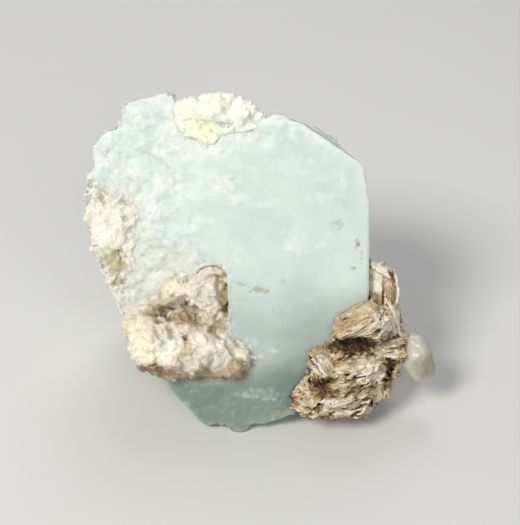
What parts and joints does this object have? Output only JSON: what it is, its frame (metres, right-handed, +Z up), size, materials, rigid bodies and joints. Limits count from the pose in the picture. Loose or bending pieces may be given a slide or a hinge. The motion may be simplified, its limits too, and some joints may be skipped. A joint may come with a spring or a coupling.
{
  "type": "aquamarine crystal",
  "caption": "Stout hexagonal blue crystal leaning back on a broken base, with quartz crust, a feldspar cap, mica books and a small quartz crystal grown on it.",
  "frame": {"origin": "middle of the whole specimen's footprint, on the surface it stands on", "axes": "+X right along the width as seen from the front, +Y from the flat front face to the broken back, +Z up"},
  "size_m": [0.0522, 0.034, 0.0423],
  "materials": {
    "aquamarine": "translucent, satin",
    "quartz_crust": "granular",
    "cream_feldspar": "granular",
    "mica": "pearly, layered",
    "milky_quartz": "translucent, glossy"
  },
  "bodies": {
    "root": {"aquamarine_crystal": "aquamarine", "quartz_crust": "quartz_crust", "edge_crust": "quartz_crust", "feldspar_cap": "cream_feldspar", "mica_fan": "mica", "mica_upper_book": "mica", "mica_side_book": "mica", "quartz_crystal": "milky_quartz"}
  },
  "joints": []
}
